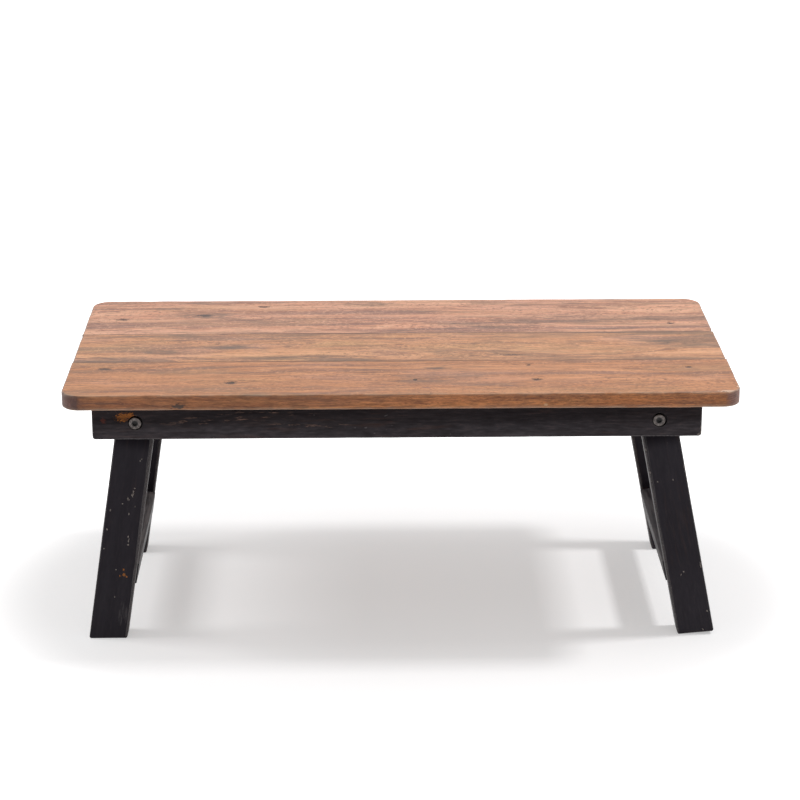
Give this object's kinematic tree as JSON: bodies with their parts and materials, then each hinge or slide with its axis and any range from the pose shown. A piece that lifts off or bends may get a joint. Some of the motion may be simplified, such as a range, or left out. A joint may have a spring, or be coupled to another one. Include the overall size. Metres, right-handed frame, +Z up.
{
  "type": "folding tray table",
  "caption": "Low rectangular folding tray table: a plank wood top on black painted aprons, with splayed leg frames that pivot on bolts and fold flat under the top.",
  "frame": {"origin": "on the floor, under the centre of the top", "axes": "+X along the boards, +Y away from the front apron, +Z up"},
  "size_m": [0.6, 0.3, 0.2468],
  "materials": {
    "top_wood": "worn oiled boards with streaked grain",
    "black_paint": "satin black paint on wood, worn at the edges",
    "bolt_steel": "plain zinc plated steel",
    "screw_steel": "plated wood screws"
  },
  "bodies": {
    "table_top": {"front_board": "top_wood", "middle_board": "top_wood", "back_board": "top_wood", "front_apron": "black_paint", "back_apron": "black_paint", "left_end_rail": "black_paint", "right_end_rail": "black_paint", "left_rail_screws": "screw_steel", "right_rail_screws": "screw_steel", "front_apron_screws": "screw_steel", "back_apron_screws": "screw_steel", "front_corner_screws": "screw_steel", "back_corner_screws": "screw_steel", "left_front_pivot_bolt": "bolt_steel", "left_front_spacer": "bolt_steel", "left_front_washer": "bolt_steel", "left_front_lock_nut": "bolt_steel", "left_back_pivot_bolt": "bolt_steel", "left_back_spacer": "bolt_steel", "left_back_washer": "bolt_steel", "left_back_lock_nut": "bolt_steel", "right_front_pivot_bolt": "bolt_steel", "right_front_spacer": "bolt_steel", "right_front_washer": "bolt_steel", "right_front_lock_nut": "bolt_steel", "right_back_pivot_bolt": "bolt_steel", "right_back_spacer": "bolt_steel", "right_back_washer": "bolt_steel", "right_back_lock_nut": "bolt_steel"},
    "left_leg_frame": {"left_front_leg": "black_paint", "left_back_leg": "black_paint", "left_stretcher": "black_paint", "left_stretcher_screws": "screw_steel"},
    "right_leg_frame": {"right_front_leg": "black_paint", "right_back_leg": "black_paint", "right_stretcher": "black_paint", "right_stretcher_screws": "screw_steel"}
  },
  "joints": [
    {"name": "left_fold", "type": "hinge", "parent": "table_top", "child": "left_leg_frame", "pos_m": [-0.23644, 0, 0.2142], "axis": [0, -1, 0], "range_deg": [0, 98.5]},
    {"name": "right_fold", "type": "hinge", "parent": "table_top", "child": "right_leg_frame", "pos_m": [0.22957, 0, 0.2142], "axis": [0, 1, 0], "range_deg": [0, 101]}
  ]
}
